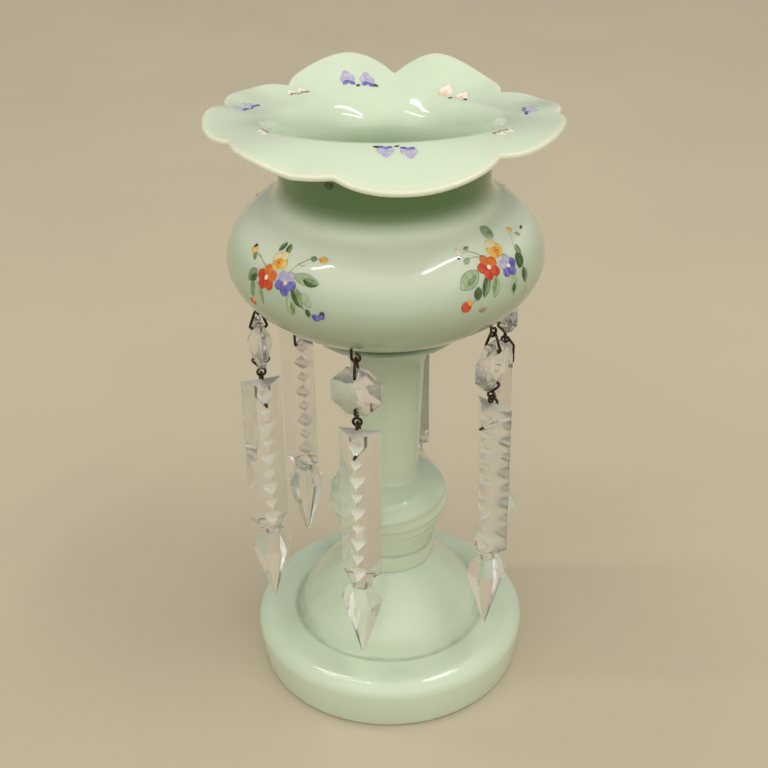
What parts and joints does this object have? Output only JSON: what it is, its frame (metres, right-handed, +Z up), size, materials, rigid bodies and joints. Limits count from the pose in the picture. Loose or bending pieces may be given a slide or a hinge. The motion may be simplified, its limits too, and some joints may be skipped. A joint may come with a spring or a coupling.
{
  "type": "mantel lustre",
  "caption": "Opaline glass mantel lustre: petal-rimmed bowl on a knopped hollow pedestal, hung with cut-crystal buttons and notched spear prisms that swing on bent wire.",
  "frame": {"origin": "centre of the foot on the table", "axes": "+Z up along the axis of the vase, -Y towards the viewer of the front"},
  "size_m": [0.1349, 0.1372, 0.2607],
  "materials": {
    "opaline": "opaque pale mint opaline glass, glossy, with painted flowers",
    "crystal": "clear cut lead crystal",
    "wire": "dark oxidised iron wire"
  },
  "bodies": {
    "vase": {"bowl": "opaline", "joint_wafer": "opaline", "pedestal": "opaline", "hook_1": "wire", "hook_2": "wire", "hook_3": "wire", "hook_4": "wire", "hook_5": "wire", "hook_6": "wire"},
    "clip_1": {"upper_clip_1": "wire"},
    "drop_1": {"button_1": "crystal", "lower_clip_1": "wire"},
    "pin_1": {"prism_pin_1": "wire"},
    "spear_1": {"prism_1": "crystal"},
    "clip_2": {"upper_clip_2": "wire"},
    "drop_2": {"button_2": "crystal", "lower_clip_2": "wire"},
    "pin_2": {"prism_pin_2": "wire"},
    "spear_2": {"prism_2": "crystal"},
    "clip_3": {"upper_clip_3": "wire"},
    "drop_3": {"button_3": "crystal", "lower_clip_3": "wire"},
    "pin_3": {"prism_pin_3": "wire"},
    "spear_3": {"prism_3": "crystal"},
    "clip_4": {"upper_clip_4": "wire"},
    "drop_4": {"button_4": "crystal", "lower_clip_4": "wire"},
    "pin_4": {"prism_pin_4": "wire"},
    "spear_4": {"prism_4": "crystal"},
    "clip_5": {"upper_clip_5": "wire"},
    "drop_5": {"button_5": "crystal", "lower_clip_5": "wire"},
    "pin_5": {"prism_pin_5": "wire"},
    "spear_5": {"prism_5": "crystal"},
    "clip_6": {"upper_clip_6": "wire"},
    "drop_6": {"button_6": "crystal", "lower_clip_6": "wire"},
    "pin_6": {"prism_pin_6": "wire"},
    "spear_6": {"prism_6": "crystal"}
  },
  "joints": [
    {"name": "clip_swing_1", "type": "hinge", "parent": "vase", "child": "clip_1", "pos_m": [-0.01152, -0.05071, 0.177], "axis": [-0.9751, 0.2215, 0], "range_deg": [-3, 22]},
    {"name": "button_sway_1", "type": "hinge", "parent": "clip_1", "child": "drop_1", "pos_m": [-0.01152, -0.05071, 0.1708], "axis": [-0.2215, -0.9751, 0], "range_deg": [-12, 12]},
    {"name": "pin_swing_1", "type": "hinge", "parent": "drop_1", "child": "pin_1", "pos_m": [-0.01152, -0.05071, 0.149], "axis": [-0.9751, 0.2215, 0], "range_deg": [-3, 22]},
    {"name": "prism_sway_1", "type": "hinge", "parent": "pin_1", "child": "spear_1", "pos_m": [-0.01152, -0.05071, 0.1377], "axis": [-0.2215, -0.9751, 0], "range_deg": [-12, 12]},
    {"name": "clip_swing_2", "type": "hinge", "parent": "vase", "child": "clip_2", "pos_m": [0.04064, -0.03244, 0.177], "axis": [-0.6239, -0.7815, 0], "range_deg": [-3, 22]},
    {"name": "button_sway_2", "type": "hinge", "parent": "clip_2", "child": "drop_2", "pos_m": [0.04064, -0.03244, 0.1708], "axis": [0.7815, -0.6239, 0], "range_deg": [-12, 12]},
    {"name": "pin_swing_2", "type": "hinge", "parent": "drop_2", "child": "pin_2", "pos_m": [0.04064, -0.03244, 0.149], "axis": [-0.7242, 0.6896, 0], "range_deg": [-10, 10]},
    {"name": "prism_sway_2", "type": "hinge", "parent": "pin_2", "child": "spear_2", "pos_m": [0.04064, -0.03244, 0.1377], "axis": [-0.6896, -0.7242, 0], "range_deg": [-2, 12]},
    {"name": "clip_swing_3", "type": "hinge", "parent": "vase", "child": "clip_3", "pos_m": [0.04967, 0.01538, 0.177], "axis": [0.2957, -0.9553, 0], "range_deg": [-3, 22]},
    {"name": "button_sway_3", "type": "hinge", "parent": "clip_3", "child": "drop_3", "pos_m": [0.04967, 0.01538, 0.1708], "axis": [0.9553, 0.2957, 0], "range_deg": [-12, 12]},
    {"name": "pin_swing_3", "type": "hinge", "parent": "drop_3", "child": "pin_3", "pos_m": [0.04967, 0.01538, 0.149], "axis": [-0.0035, 1, 0], "range_deg": [-22, 3]},
    {"name": "prism_sway_3", "type": "hinge", "parent": "pin_3", "child": "spear_3", "pos_m": [0.04967, 0.01538, 0.1377], "axis": [-1, -0.0035, 0], "range_deg": [-10, 10]},
    {"name": "clip_swing_4", "type": "hinge", "parent": "vase", "child": "clip_4", "pos_m": [0.01152, 0.05071, 0.177], "axis": [0.9751, -0.2215, 0], "range_deg": [-3, 22]},
    {"name": "button_sway_4", "type": "hinge", "parent": "clip_4", "child": "drop_4", "pos_m": [0.01152, 0.05071, 0.1708], "axis": [0.2215, 0.9751, 0], "range_deg": [-12, 12]},
    {"name": "pin_swing_4", "type": "hinge", "parent": "drop_4", "child": "pin_4", "pos_m": [0.01152, 0.05071, 0.149], "axis": [0.9751, -0.2215, 0], "range_deg": [-3, 22]},
    {"name": "prism_sway_4", "type": "hinge", "parent": "pin_4", "child": "spear_4", "pos_m": [0.01152, 0.05071, 0.1377], "axis": [0.2215, 0.9751, 0], "range_deg": [-12, 12]},
    {"name": "clip_swing_5", "type": "hinge", "parent": "vase", "child": "clip_5", "pos_m": [-0.03815, 0.03533, 0.177], "axis": [0.6794, 0.7337, 0], "range_deg": [-3, 22]},
    {"name": "button_sway_5", "type": "hinge", "parent": "clip_5", "child": "drop_5", "pos_m": [-0.03815, 0.03533, 0.1708], "axis": [-0.7337, 0.6794, 0], "range_deg": [-12, 12]},
    {"name": "pin_swing_5", "type": "hinge", "parent": "drop_5", "child": "pin_5", "pos_m": [-0.03815, 0.03533, 0.149], "axis": [0.8926, -0.4509, 0], "range_deg": [-10, 10]},
    {"name": "prism_sway_5", "type": "hinge", "parent": "pin_5", "child": "spear_5", "pos_m": [-0.03815, 0.03533, 0.1377], "axis": [0.4509, 0.8926, 0], "range_deg": [-2, 12]},
    {"name": "clip_swing_6", "type": "hinge", "parent": "vase", "child": "clip_6", "pos_m": [-0.05058, -0.01205, 0.177], "axis": [-0.2317, 0.9728, 0], "range_deg": [-3, 22]},
    {"name": "button_sway_6", "type": "hinge", "parent": "clip_6", "child": "drop_6", "pos_m": [-0.05058, -0.01205, 0.1708], "axis": [-0.9728, -0.2317, 0], "range_deg": [-12, 12]},
    {"name": "pin_swing_6", "type": "hinge", "parent": "drop_6", "child": "pin_6", "pos_m": [-0.05058, -0.01205, 0.149], "axis": [-0.9542, -0.299, 0], "range_deg": [-10, 10]},
    {"name": "prism_sway_6", "type": "hinge", "parent": "pin_6", "child": "spear_6", "pos_m": [-0.05058, -0.01205, 0.1377], "axis": [0.299, -0.9542, 0], "range_deg": [-12, 2]}
  ]
}
